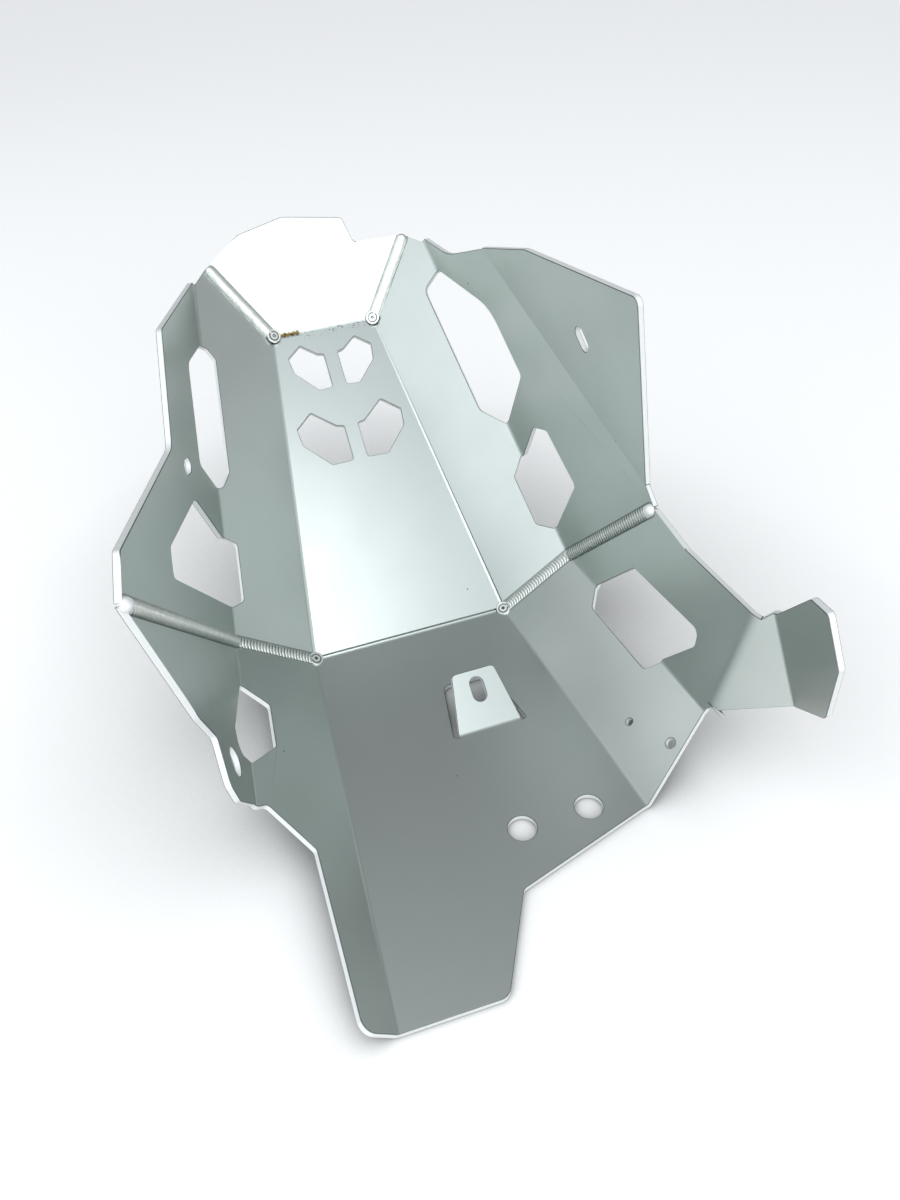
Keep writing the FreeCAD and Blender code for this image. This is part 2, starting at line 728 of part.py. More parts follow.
def beside_lower_fold(depth, along, radius):
    """Corner of a cut in the lower strip, at a depth from the outer fold."""
    return ("lower_strip_width - " + depth, "lower_seam_rise + " + along, radius)


front_seam = ("0", "front_fold_length", "front_seam_in_upper_strip")
strip_top = [
    (*on_line(*front_seam, "front_seam_length", "-seam_half_gap"), 0),
    (*on_line(*front_seam, "corner_relief", "-seam_half_gap"), 0),
    ("upper_strip_setback", "front_fold_length - corner_relief", 0),
]
upper_strip_root = strip_root("upper_strip_setback", "inner_seam_in_upper_strip", upper_edge,
                              "upper_seam_rise")
upper_strips = {
    "left": [
        on_upper_fold("left_window_rear"),
        beside_upper_fold("left_window_strip_depth", "left_window_rear + left_window_strip_slant",
                          "cut_corner"),
        beside_upper_fold("left_window_strip_depth", "left_window_front - left_window_strip_slant",
                          "cut_corner"),
        on_upper_fold("left_window_front"),
        on_upper_fold("left_slot_rear"),
        beside_upper_fold("left_slot_foot_depth", "left_slot_rear + left_slot_foot_slant", "easy_corner"),
        beside_upper_fold("left_slot_strip_depth", "left_slot_rear + left_slot_strip_rear_slant",
                          "cut_corner"),
        beside_upper_fold("left_slot_strip_depth", "left_slot_front - left_slot_strip_front_slant",
                          "cut_corner"),
        beside_upper_fold("left_slot_foot_depth", "left_slot_front - left_slot_foot_slant", "easy_corner"),
        on_upper_fold("left_slot_front"),
        on_upper_fold("left_wing_top"),
    ],
    "right": [
        on_upper_fold("right_window_rear"),
        beside_upper_fold("right_window_strip_depth", "right_window_rear + right_window_strip_rear_slant",
                          "cut_corner"),
        beside_upper_fold("right_window_strip_depth", "right_window_front - right_window_strip_front_slant",
                          "cut_corner"),
        on_upper_fold("right_window_front"),
        on_upper_fold("right_slot_rear"),
        beside_upper_fold("right_slot_strip_depth", "right_slot_rear + right_slot_strip_rear_slant",
                          "right_slot_strip_radius"),
        beside_upper_fold("right_slot_strip_depth", "right_slot_front - right_slot_strip_slant",
                          "right_slot_strip_radius"),
        on_upper_fold("right_slot_front"),
        on_upper_fold("right_wing_top"),
    ],
}
upper_spans = {
    "left": [
        ("corner_relief", "left_window_rear"),
        ("left_window_front", "left_slot_rear"),
        ("left_slot_front", "left_wing_top"),
    ],
    "right": [
        ("corner_relief", "right_window_rear"),
        ("right_window_front", "right_slot_rear"),
        ("right_slot_front", "right_wing_top"),
    ],
}
upper_wings = {
    "left": wing_root("upper_wing_setback", "outer_seam_in_upper_wing", "left_seam_length",
                      "seam_half_gap") + [
        ("left_tip_across", "left_tip_along", "cut_corner"),
        ("left_waist_across", "left_waist_along", "left_waist_radius"),
        ("left_shoulder_across", "left_shoulder_along", "left_shoulder_radius"),
        ("upper_wing_setback", "left_wing_top", 0),
        ("upper_wing_setback", "left_slot_front", 0),
        ("left_slot_wing_front_across", "left_slot_wing_front_along", "left_slot_wing_radius"),
        ("left_slot_wing_rear_across", "left_slot_wing_rear_along", "cut_corner"),
        ("upper_wing_setback", "left_slot_rear", 0),
        ("upper_wing_setback", "left_window_front", 0),
        ("left_window_bulge_across", "left_window_bulge_along", "left_window_bulge_radius"),
        ("left_window_tip_across", "left_window_tip_front", "left_window_tip_radius"),
        ("left_window_tip_across", "left_window_tip_rear", "cut_corner"),
        ("upper_wing_setback", "left_window_rear", 0),
    ],
    "right": wing_root("upper_wing_setback", "outer_seam_in_upper_wing", "right_seam_length",
                       "seam_half_gap") + [
        (*on_line("flap_fold_across", "0", "90 + flap_fold_turn", "flap_fold_start", "flap_setback"), 0),
        (*on_line("flap_fold_across", "0", "90 + flap_fold_turn", "flap_fold_end", "flap_setback"), 0),
        ("right_shoulder_across", "right_shoulder_along", "right_shoulder_radius"),
        ("upper_wing_setback", "right_wing_top", 0),
        ("upper_wing_setback", "right_slot_front", 0),
        ("right_slot_wing_front_across", "right_slot_wing_front_along", "right_slot_wing_radius"),
        ("right_slot_wing_rear_across", "right_slot_wing_rear_along", "cut_corner"),
        ("upper_wing_setback", "right_slot_rear", 0),
        ("upper_wing_setback", "right_window_front", 0),
        ("right_window_peak_across", "right_window_peak_along", "cut_corner"),
        ("right_window_front_across", "right_window_front_along", "cut_corner"),
        ("right_window_rear_across", "right_window_rear_along", "cut_corner"),
        ("upper_wing_setback", "right_window_rear", 0),
    ],
}
for name, side in (("left", -1), ("right", 1)):
    strip = frames[name, "upper_strip"]
    wing = frames[name, "upper_wing"]
    add_bend(name + "_upper_strip_fold", strip, [("corner_relief", front_top)], "upper_strip_bend", side)
    add_panel(name + "_upper_strip", strip, upper_strip_root + upper_strips[name] + strip_top, side)
    add_bend(name + "_upper_wing_fold", wing, upper_spans[name], "upper_wing_bend", side)
    add_panel(name + "_upper_wing", wing, upper_wings[name], side)

lower_strip_root = strip_root("lower_strip_setback", "inner_seam_in_lower_strip", lower_edge,
                              "lower_seam_rise")
lower_strips = {
    "left": [
        on_lower_fold("left_low_window_front"),
        beside_lower_fold("left_low_window_strip_depth",
                          "left_low_window_front + left_low_window_strip_front_slant", "cut_corner"),
        beside_lower_fold("left_low_window_strip_depth",
                          "left_low_window_rear - left_low_window_strip_rear_slant", "cut_corner"),
        on_lower_fold("left_low_window_rear"),
        on_lower_fold("left_lower_wing_rear"),
        ("left_tab_top_across", "left_tab_top_along", "cut_corner"),
        ("left_tab_waist_across", "left_tab_waist_along", "cut_corner"),
        ("left_tab_depth", "left_floor_length", "tail_radius"),
        ("lower_strip_setback", "left_floor_length", 0),
    ],
    "right": [
        on_lower_fold("right_low_window_front"),
        beside_lower_fold("right_low_window_strip_depth",
                          "right_low_window_front + right_low_window_strip_front_slant", "cut_corner"),
        beside_lower_fold("right_low_window_strip_depth",
                          "right_low_window_rear - right_low_window_strip_rear_slant", "cut_corner"),
        on_lower_fold("right_low_window_rear"),
        on_lower_fold("right_lower_wing_rear"),
        ("lower_strip_setback", "right_floor_length", 0),
    ],
}
floor_lengths = {"left": "left_floor_length", "right": "right_floor_length"}
lower_spans = {
    "left": [
        ("corner_relief", "left_low_window_front"),
        ("left_low_window_rear", "left_lower_wing_rear"),
    ],
    "right": [
        ("corner_relief", "right_low_window_front"),
        ("right_low_window_rear", "right_lower_wing_rear"),
    ],
}
arm_line = ("arm_fold_across", "arm_fold_along", "arm_fold_turn - 90")
lower_wings = {
    "left": wing_root("lower_wing_setback", "outer_seam_in_lower_wing", "left_seam_length",
                      "seam_half_gap") + [
        ("left_hip_across", "left_hip_along", "left_hip_radius"),
        ("left_ear_foot_across", "left_ear_foot_along", "cut_corner"),
        ("left_ear_end_across", "left_ear_end_along", "left_ear_radius"),
        ("left_ear_across", "left_ear_along", "left_ear_radius"),
        ("lower_wing_setback", "left_lower_wing_rear", 0),
        ("lower_wing_setback", "left_low_window_rear", 0),
        ("left_low_window_rear_across", "left_low_window_rear_along", "left_low_window_rear_radius"),
        ("left_low_window_side_across", "left_low_window_side_along", "left_low_window_side_radius"),
        ("lower_wing_setback", "left_low_window_front", 0),
    ],
    "right": wing_root("lower_wing_setback", "outer_seam_in_lower_wing", "right_seam_length",
                       "seam_half_gap") + [
        ("right_neck_across", "right_neck_along", "right_neck_radius"),
        (*on_line(*arm_line, "arm_fold_length", "-arm_setback"), 0),
        (*on_line(*arm_line, "arm_fold_start + corner_overlap", "-arm_setback"), 0),
        (*on_line(*arm_line, "arm_fold_start + corner_overlap", "arm_corner_reach - arm_setback"), 0),
        ("arm_corner_across", "arm_corner_along", 0),
        ("lower_wing_setback", "right_lower_wing_rear", 0),
        ("lower_wing_setback", "right_low_window_rear", 0),
        ("right_low_window_rear_across", "right_low_window_rear_along", "right_low_window_radius"),
        ("right_low_window_side_across", "right_low_window_side_along", "right_low_window_radius"),
        ("right_low_window_front_across", "right_low_window_front_along", "cut_corner"),
        ("lower_wing_setback", "right_low_window_front", 0),
    ],
}
for name, hand in (("left", 1), ("right", -1)):
    strip = frames[name, "lower_strip"]
    wing = frames[name, "lower_wing"]
    fold = [("corner_relief", floor_lengths[name])]
    add_bend(name + "_lower_strip_fold", strip, fold, "lower_strip_bend", hand)
    add_panel(name + "_lower_strip", strip, lower_strip_root + lower_strips[name], hand)
    add_bend(name + "_lower_wing_fold", wing, lower_spans[name], "lower_wing_bend", hand)
    add_panel(name + "_lower_wing", wing, lower_wings[name], hand)

# Small openings in the strips and wings
slot_frame = add_frame("left_wing_slot_frame", frames["left", "upper_wing"], "left_wing_slot_across",
                       "-left_wing_slot_along", "left_wing_slot_turn", "0")
wing_slot = ("left_wing_slot_length", "left_wing_slot_width", "0", "0", "across")
add_cut("left_wing_slot", slot_frame, slots=[wing_slot])
ear_hole = ("left_ear_hole", "left_ear_hole_across", "left_ear_hole_along")
add_cut("left_ear_bore", frames["left", "lower_wing"], circles=[ear_hole])
small_holes = [
    ("screw_hole", "screw_hole_across", "screw_hole_along"),
    ("pilot_hole", "pilot_hole_across", "pilot_hole_along"),
]
add_cut("right_strip_holes", frames["right", "lower_strip"], -1, circles=small_holes)

# Flap on the right upper wing
flap = add_frame("flap_frame", frames["right", "upper_wing"], "flap_fold_across", "0", "flap_fold_turn",
                 "flap_bend")
add_bend("flap_fold", flap, [("flap_fold_start", "flap_fold_end")], "flap_bend")
flap_corners = [
    ("flap_setback", "flap_fold_start", 0),
    ("flap_tip_across", "flap_tip_along", "flap_tip_radius"),
    ("flap_back_across", "flap_back_along", "flap_back_radius"),
    ("flap_setback", "flap_fold_end", 0),
]
add_panel("flap", flap, flap_corners)
slot_frame = add_frame("flap_slot_frame", flap, "flap_slot_across", "flap_slot_along", "-flap_slot_turn", "0")
add_cut("flap_slot", slot_frame, slots=[("flap_slot_length", "flap_slot_width", "0", "0", "along")])

# Arm on the right lower wing: out in a wide bend, then its end back in
arm = add_frame("arm_frame", frames["right", "lower_wing"], "arm_fold_across", "-arm_fold_along",
                "-arm_fold_turn", "-arm_bend")
add_bend("arm_fold", arm, [("arm_fold_start", "arm_fold_length")], "arm_bend", 1, True)
end_line = ("arm_length", "arm_rise", "90 + end_fold_turn")
arm_corners = [
    ("arm_setback", "arm_fold_start", 0),
    (*on_line(*end_line, "0", "end_setback"), 0),
    (*on_line(*end_line, "end_fold_length", "end_setback"), 0),
    ("arm_setback", "arm_fold_length", 0),
]
add_panel("arm", arm, arm_corners)
arm_end = add_frame("arm_end_frame", arm, "arm_length", "arm_rise", "end_fold_turn", "end_bend")
add_bend("arm_end_fold", arm_end, [("0", "end_fold_length")], "end_bend")
end_corners = [
    ("end_setback", "0", 0),
    ("end_foot_across", "end_foot_along", "end_foot_radius"),
    ("end_side_across", "end_side_along", "cut_corner"),
    ("end_corner_across", "end_corner_along", "easy_corner"),
    ("end_top_across", "end_top_along", "cut_corner"),
    ("end_setback", "end_fold_length", 0),
]
add_panel("arm_end", arm_end, end_corners)


# Weld beads close the seams and the corners that the folds leave open
beads = []


def add_bead(name, frame, along, turn, length):
    """Round bead from a corner along a seam, with a round start and a round end."""
    here = "placement(vector(0; %s; 0); rotation(vector(0; 0; 1); %s))" % (along, turn)
    start = "%s.Placement * %s" % (frame.Name, bound(here))
    rod = doc.addObject("Part::Cylinder", name)
    rod.setExpression("Radius", bound("bead_radius"))
    rod.setExpression("Height", bound(length))
    rod.setExpression("Placement", start + " * placement(vector(0; 0; 0); rotation(vector(0; 1; 0); 90))")
    beads.append(rod)
    for end, distance in (("start", "0"), ("end", length)):
        ball = doc.addObject("Part::Sphere", "%s_%s" % (name, end))
        ball.setExpression("Radius", bound("bead_radius"))
        shift = "placement(vector(%s; 0; 0); rotation(vector(0; 0; 1); 0))" % bound(distance)
        ball.setExpression("Placement", "%s * %s" % (start, shift))
        beads.append(ball)


for name, side in (("left", -1), ("right", 1)):
    strip = frames[name, "upper_strip"]
    wing = frames[name, "upper_wing"]
    add_bead(name + "_inner_bead", strip, "0", "%d * inner_seam_in_upper_strip" % side, "inner_seam_length")
    add_bead(name + "_outer_bead", wing, "0", "%d * outer_seam_in_upper_wing" % side,
             name + "_seam_length - bead_radius")
    add_bead(name + "_front_bead", strip, "%d * front_fold_length" % side,
             "%d * front_seam_in_upper_strip" % side, "front_seam_length - bead_radius")
doc.recompute()

welded = doc.addObject("Part::MultiFuse", "skid_plate")
welded.Label = "skid_plate"
welded.Shapes = [plate] + beads
doc.recompute()

for item in doc.Objects:
    if "Invalid" in item.State or "Error" in item.State:
        raise RuntimeError("%s failed: %s" % (item.Name, item.State))
shape = welded.Shape
if shape.isNull() or not shape.isValid() or len(shape.Solids) != 1:
    raise RuntimeError("the plate is not one valid solid")
welded.Shape.exportStep("parts/skid_plate.step")
print("skid_plate: %.0f cubic mm in %d faces" % (shape.Volume, len(shape.Faces)))
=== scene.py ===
# %% [markdown]
# # A motorcycle skid plate in bare aluminium
# The real part is one sheet, 4 mm thick, that is cut, folded into a tub and welded
# along its short seams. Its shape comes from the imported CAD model. This lesson gives
# it its light, its satin metal, its bright cut edges, its rippled welds and its marks.

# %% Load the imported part
import json
from math import cos, radians, sin, sqrt

import bpy
from mathutils import Matrix, Vector
from mathutils.bvhtree import BVHTree

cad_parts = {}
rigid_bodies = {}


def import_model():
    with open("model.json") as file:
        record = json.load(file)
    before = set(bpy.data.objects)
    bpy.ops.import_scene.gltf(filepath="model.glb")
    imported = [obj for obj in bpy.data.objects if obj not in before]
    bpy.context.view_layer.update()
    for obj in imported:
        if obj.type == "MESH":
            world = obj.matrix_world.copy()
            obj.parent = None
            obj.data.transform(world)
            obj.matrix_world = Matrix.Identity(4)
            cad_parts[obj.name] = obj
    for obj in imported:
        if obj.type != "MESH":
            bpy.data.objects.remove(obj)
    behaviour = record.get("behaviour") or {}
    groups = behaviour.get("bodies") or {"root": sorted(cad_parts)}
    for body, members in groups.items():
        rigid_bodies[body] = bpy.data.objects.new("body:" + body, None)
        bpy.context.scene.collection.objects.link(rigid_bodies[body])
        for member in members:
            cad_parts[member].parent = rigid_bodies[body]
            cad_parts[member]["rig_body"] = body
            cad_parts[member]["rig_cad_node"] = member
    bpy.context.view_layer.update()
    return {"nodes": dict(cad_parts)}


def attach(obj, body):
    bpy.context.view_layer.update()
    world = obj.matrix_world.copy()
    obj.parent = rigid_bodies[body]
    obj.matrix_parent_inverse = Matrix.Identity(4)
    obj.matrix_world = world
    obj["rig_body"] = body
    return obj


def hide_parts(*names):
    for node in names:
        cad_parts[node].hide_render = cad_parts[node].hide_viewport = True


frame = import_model()
cad_plate = frame["nodes"]["skid_plate"]
scene = bpy.context.scene
scene.view_settings.view_transform = "Standard"
MM = 0.001
print("the plate in the CAD:", len(cad_plate.data.polygons), "triangles")

# %% [markdown]
# ## The camera
# The photograph looks down into the tub from behind its left rear corner. The place
# and the turn of the camera are worked out from the folds, whose directions are known.

# %% The camera
camera_data = bpy.data.cameras.new("camera")
camera_data.sensor_width = 36
camera_data.lens = 27
camera = bpy.data.objects.new("camera", camera_data)
camera.location = (-0.1128, -0.3403, 0.4686)
camera.rotation_euler = (radians(49.1595), radians(2.9197), radians(-18.9759))
scene.collection.objects.link(camera)
scene.camera = camera
print("the camera stands", round(camera.location.z, 2), "m over the floor")

# %% [markdown]
# ## The studio
# Bare metal shows what is round it, so the room matters as much as the lamps. The room
# is bright and a little blue behind the camera and on its left, which lights the slopes,
# and dim on the far side, which leaves the floor of the tub grey. It is one soft gradient
# along a slanting line. The camera, the metal and the floor all see the same room.

# %% The room's light
ROOM_DIM = (0.13, 0.135, 0.13, 1)
ROOM_BRIGHT = (0.98, 1.02, 1.08, 1)
world = bpy.data.worlds.new("room")
scene.world = world
world.use_nodes = True
room = world.node_tree
room.nodes.clear()
room_out = room.nodes.new("ShaderNodeOutputWorld")
room_light = room.nodes.new("ShaderNodeBackground")
room_place = room.nodes.new("ShaderNodeTexCoord")
room_side = room.nodes.new("ShaderNodeVectorMath")
room_share = room.nodes.new("ShaderNodeMapRange")
room_color = room.nodes.new("ShaderNodeMix")
room_side.operation = "DOT_PRODUCT"
room_side.inputs[1].default_value = Vector((-0.45, -0.80, 0.40)).normalized()
room_share.interpolation_type = "SMOOTHSTEP"
room_share.inputs["From Min"].default_value = -0.75
room_share.inputs["From Max"].default_value = 0.95
room_color.data_type = "RGBA"
room_color.inputs["A"].default_value = ROOM_DIM
room_color.inputs["B"].default_value = ROOM_BRIGHT
room.links.new(room_place.outputs["Generated"], room_side.inputs[0])
room.links.new(room_side.outputs["Value"], room_share.inputs["Value"])
room.links.new(room_share.outputs["Result"], room_color.inputs["Factor"])
room.links.new(room_color.outputs["Result"], room_light.inputs["Color"])
room.links.new(room_light.outputs[0], room_out.inputs[0])
print("the room goes from", ROOM_DIM[:3], "to", ROOM_BRIGHT[:3])

# %% [markdown]
# ## Lamps
# Five softboxes stand round the plate, each a flat lamp about a metre wide. The low one
# behind the camera turns the steep crest white, the high one lights the front slope, and
# the three at the sides light the strips and the wings.

# %% Softboxes
TUB_MIDDLE = Vector((0, 0.13, 0.09))
LAMP_COLOR = (0.95, 0.98, 1.0)


def add_softbox(name, place, width, height, power):
    """A flat lamp that faces the tub."""
    data = bpy.data.lights.new(name, "AREA")
    data.shape, data.size, data.size_y, data.energy = "RECTANGLE", width, height, power
    data.color = LAMP_COLOR
    lamp = bpy.data.objects.new(name, data)
    lamp.location = place
    lamp.rotation_euler = (TUB_MIDDLE - Vector(place)).to_track_quat("-Z", "Y").to_euler()
    scene.collection.objects.link(lamp)


add_softbox("softbox_back_low", (0.3, -2.0, 0.85), 1.4, 0.9, 14)
add_softbox("softbox_back_high", (-0.2, -1.0, 2.0), 0.9, 0.9, 6.2)
add_softbox("softbox_left", (-1.5, -0.5, 1.2), 1.6, 1.6, 4.0)
add_softbox("softbox_left_front", (-1.4, 1.1, 1.2), 1.0, 1.0, 2.2)
add_softbox("softbox_right", (1.6, 0.2, 1.2), 0.9, 0.9, 0.6)

# %% [markdown]
# ## The floor
# The plate lies on a sheet of white paper. The paper is painted whiter for the eye and for
# what the metal shows than for the light that it throws back, so it comes out white and
# keeps the soft shadow under the plate. Where the plate hangs less than a quarter of a
# metre over it, an Ambient Occlusion node darkens the paper's colour: a painted shade that
# deepens that shadow.

# %% White paper
PAPER_FOR_LIGHT = (0.25, 0.25, 0.25, 1)
PAPER_SEEN = (1.17, 1.155, 1.13, 1)
SHADOW_REACH = 0.25
floor_paint = bpy.data.materials.new("white_paper")
floor_paint.use_nodes = True
tree = floor_paint.node_tree
tree.nodes.clear()
out = tree.nodes.new("ShaderNodeOutputMaterial")
matt = tree.nodes.new("ShaderNodeBsdfDiffuse")
path = tree.nodes.new("ShaderNodeLightPath")
paper = tree.nodes.new("ShaderNodeMix")
paper.data_type = "RGBA"
paper.inputs["A"].default_value = PAPER_FOR_LIGHT
seen = path.outputs["Is Camera Ray"]
for ray in ("Is Glossy Ray", "Is Transmission Ray"):
    either = tree.nodes.new("ShaderNodeMath")
    either.operation = "MAXIMUM"
    tree.links.new(seen, either.inputs[0])
    tree.links.new(path.outputs[ray], either.inputs[1])
    seen = either.outputs[0]
# The Ambient Occlusion node paints shade into the paper's colour near the plate
shade = tree.nodes.new("ShaderNodeAmbientOcclusion")
shade.samples = 16
shade.inputs["Color"].default_value = PAPER_SEEN
shade.inputs["Distance"].default_value = SHADOW_REACH
tree.links.new(shade.outputs["Color"], paper.inputs["B"])
tree.links.new(seen, paper.inputs["Factor"])
tree.links.new(paper.outputs["Result"], matt.inputs["Color"])
tree.links.new(matt.outputs[0], out.inputs[0])
bpy.ops.object.select_all(action="DESELECT")
bpy.ops.mesh.primitive_plane_add(size=12, location=(0, 0, 0))
floor = bpy.context.active_object
floor.name = "white_paper"
floor.data.materials.append(floor_paint)
print(floor.name, "is", floor.dimensions.x, "m wide")

# %% [markdown]
# ## The sheet
# The CAD mesh is loose triangles with sharp corners. A copy of it is merged, so that
# its edges can be told apart and broken by a fraction of a millimetre, as a deburring
# wheel does. Only broken edges catch the light in the thin bright lines that a cut
# sheet shows.

# %% A merged copy of the plate
bpy.ops.object.select_all(action="DESELECT")
cad_plate.select_set(True)
bpy.context.view_layer.objects.active = cad_plate
bpy.ops.object.duplicate()
plate = bpy.context.active_object
plate.name = "folded_sheet"
plate.parent = None
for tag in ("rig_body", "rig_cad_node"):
    del plate[tag]
plate.data.materials.clear()
bpy.ops.mesh.customdata_custom_splitnormals_clear()
bpy.ops.object.mode_set(mode="EDIT")
bpy.ops.mesh.select_all(action="SELECT")
bpy.ops.mesh.remove_doubles(threshold=0.005 * MM)
bpy.ops.mesh.dissolve_degenerate(threshold=0.01 * MM)
bpy.ops.object.mode_set(mode="OBJECT")
print("the merged sheet:", len(plate.data.polygons), "triangles")

# %% [markdown]
# ## Which faces were cut
# A face of the sheet has another face 4 mm behind it, and a cut edge hasn't: the metal
# behind it goes on for longer. A ray sent inwards from each triangle tells the two apart.

# %% Find the cut edges
SHEET_THICKNESS = 4 * MM
UNDER_THE_SKIN = 0.02 * MM
inside = BVHTree.FromObject(plate, bpy.context.evaluated_depsgraph_get())
cut_faces = []
for face in plate.data.polygons:
    start = face.center - face.normal * UNDER_THE_SKIN
    depth = inside.ray_cast(start, -face.normal)[3]
    if depth is None or depth > 1.2 * SHEET_THICKNESS:
        cut_faces.append(face.index)
print("triangles on cut edges:", len(cut_faces))

# %% [markdown]
# ## Shader groups
# Three effects are used by more than one metal, so each is a node group: the distance
# from a straight line, which finds a weld or a fold, the fine cloudy tone of pickled
# aluminium, and the small dark specks that the welder left.

# %% A helper for groups
def new_group(name, inputs, outputs):
    """An empty shader group with its sockets, and its input and output nodes."""
    group = bpy.data.node_groups.new(name, "ShaderNodeTree")
    for kind, label in inputs:
        group.interface.new_socket(label, in_out="INPUT", socket_type="NodeSocket" + kind)
    for kind, label in outputs:
        group.interface.new_socket(label, in_out="OUTPUT", socket_type="NodeSocket" + kind)
    return group, group.nodes.new("NodeGroupInput"), group.nodes.new("NodeGroupOutput")


def add_math(tree, operation, first, second=None, clamp=False):
    """A Math node. Each of its inputs is a socket or a number."""
    node = tree.nodes.new("ShaderNodeMath")
    node.operation, node.use_clamp = operation, clamp
    for socket, value in zip(node.inputs, (first, second)):
        if isinstance(value, (int, float)):
            socket.default_value = value
        elif value is not None:
            tree.links.new(value, socket)
    return node.outputs[0]


def add_vector_math(tree, operation, first, second, output=0):
    """A Vector Math node on two sockets."""
    node = tree.nodes.new("ShaderNodeVectorMath")
    node.operation = operation
    tree.links.new(first, node.inputs[0])
    tree.links.new(second, node.inputs[1])
    return node.outputs[output]


# %% The distance from a line
line_group, line_in, line_out = new_group(
    "near_line",
    [("Vector", "Start"), ("Vector", "End"), ("Float", "Radius"), ("Float", "Softness")],
    [("Float", "Inside"), ("Float", "Rim"), ("Float", "Along")],
)
place = line_group.nodes.new("ShaderNodeTexCoord")
line_start = line_in.outputs["Start"]
way = add_vector_math(line_group, "SUBTRACT", line_in.outputs["End"], line_start)
here = add_vector_math(line_group, "SUBTRACT", place.outputs["Object"], line_start)
share = add_math(
    line_group,
    "DIVIDE",
    add_vector_math(line_group, "DOT_PRODUCT", here, way, 1),
    add_vector_math(line_group, "DOT_PRODUCT", way, way, 1),
    clamp=True,
)
foot = line_group.nodes.new("ShaderNodeVectorMath")
foot.operation = "SCALE"
line_group.links.new(way, foot.inputs[0])
line_group.links.new(share, foot.inputs["Scale"])
distance = add_vector_math(line_group, "DISTANCE", here, foot.outputs[0], 1)
outside = add_math(line_group, "SUBTRACT", distance, line_in.outputs["Radius"])
step = add_math(line_group, "DIVIDE", outside, line_in.outputs["Softness"])
within = add_math(line_group, "SUBTRACT", 0.5, step, clamp=True)
line_group.links.new(within, line_out.inputs["Inside"])
rim = add_math(line_group, "SUBTRACT", 1, add_math(line_group, "ABSOLUTE", step), clamp=True)
line_group.links.new(rim, line_out.inputs["Rim"])
line_group.links.new(share, line_out.inputs["Along"])
print("group:", line_group.name)

# %% The cloudy tone of the metal
tone_group, tone_in, tone_out = new_group(
    "cloudy_metal",
    [
        ("Color", "Light"),
        ("Color", "Dark"),
        ("Float", "Cloud Size"),
        ("Float", "Roughness"),
        ("Float", "Spread"),
    ],
    [("Color", "Color"), ("Float", "Roughness"), ("Float", "Grain")],
)
place = tone_group.nodes.new("ShaderNodeTexCoord")
cloud = tone_group.nodes.new("ShaderNodeTexNoise")
cloud.inputs["Detail"].default_value = 4
grain = tone_group.nodes.new("ShaderNodeTexNoise")
GRAINS_PER_METRE = 2600
grain.inputs["Scale"].default_value = GRAINS_PER_METRE
grain.inputs["Detail"].default_value = 3
cloud_scale = add_math(tone_group, "DIVIDE", 1, tone_in.outputs["Cloud Size"])
tone_group.links.new(place.outputs["Object"], cloud.inputs["Vector"])
tone_group.links.new(place.outputs["Object"], grain.inputs["Vector"])
tone_group.links.new(cloud_scale, cloud.inputs["Scale"])
blend = tone_group.nodes.new("ShaderNodeMix")
blend.data_type = "RGBA"
tone_group.links.new(cloud.outputs["Fac"], blend.inputs["Factor"])
tone_group.links.new(tone_in.outputs["Light"], blend.inputs["A"])
tone_group.links.new(tone_in.outputs["Dark"], blend.inputs["B"])
tone_group.links.new(blend.outputs["Result"], tone_out.inputs["Color"])
swing = add_math(tone_group, "SUBTRACT", cloud.outputs["Fac"], 0.5)
swing = add_math(tone_group, "MULTIPLY", swing, tone_in.outputs["Spread"])
swing = add_math(tone_group, "ADD", swing, tone_in.outputs["Roughness"])
tone_group.links.new(swing, tone_out.inputs["Roughness"])
tone_group.links.new(grain.outputs["Fac"], tone_out.inputs["Grain"])
print("group:", tone_group.name)

# %% Specks
speck_group, speck_in, speck_out = new_group(
    "specks",
    [("Float", "Spacing"), ("Float", "Size"), ("Float", "Share")],
    [("Float", "Mask")],
)
place = speck_group.nodes.new("ShaderNodeTexCoord")
cells = speck_group.nodes.new("ShaderNodeTexVoronoi")
speck_group.links.new(place.outputs["Object"], cells.inputs["Vector"])
cell_scale = add_math(speck_group, "DIVIDE", 1, speck_in.outputs["Spacing"])
speck_group.links.new(cell_scale, cells.inputs["Scale"])
near = add_math(speck_group, "MULTIPLY", cells.outputs["Distance"], speck_in.outputs["Spacing"])
lot = speck_group.nodes.new("ShaderNodeSeparateColor")
speck_group.links.new(cells.outputs["Color"], lot.inputs[0])
own_size = add_math(speck_group, "MULTIPLY", speck_in.outputs["Size"], lot.outputs[1])
dot = add_math(speck_group, "LESS_THAN", near, own_size)
chosen = add_math(speck_group, "LESS_THAN", lot.outputs[0], speck_in.outputs["Share"])
speck_group.links.new(add_math(speck_group, "MULTIPLY", dot, chosen), speck_out.inputs["Mask"])
print("group:", speck_group.name)

# %% [markdown]
# ## Where the welds run
# Six runs of weld close the tub: two from each floor corner up to the wings' ends, and
# one from each corner of the crest fold. Up is the direction halfway between the faces
# that meet there. All lengths are in millimetres.

# %% Seams
FLOOR_CORNER = Vector((75, 150, 4))
BEND_END = Vector((126.71, 145.84, 44.8))
RIGHT_SEAM_END = Vector((146.19, 70.93, 129.71))
LEFT_SEAM_END = Vector((164.59, 0.19, 209.9))
CREST_CORNER = Vector((41, 346.11, 168.55))
CREST_END = Vector((76.28, 366.74, 219.61))
INNER_UP = Vector((-0.603, -0.336, 0.724))
OUTER_UP = Vector((-0.985, -0.140, 0.103))
CREST_UP = Vector((-0.281, -0.811, 0.514))


def mirrored(point):
    """The same place on the left side."""
    return Vector((-point.x, point.y, point.z))
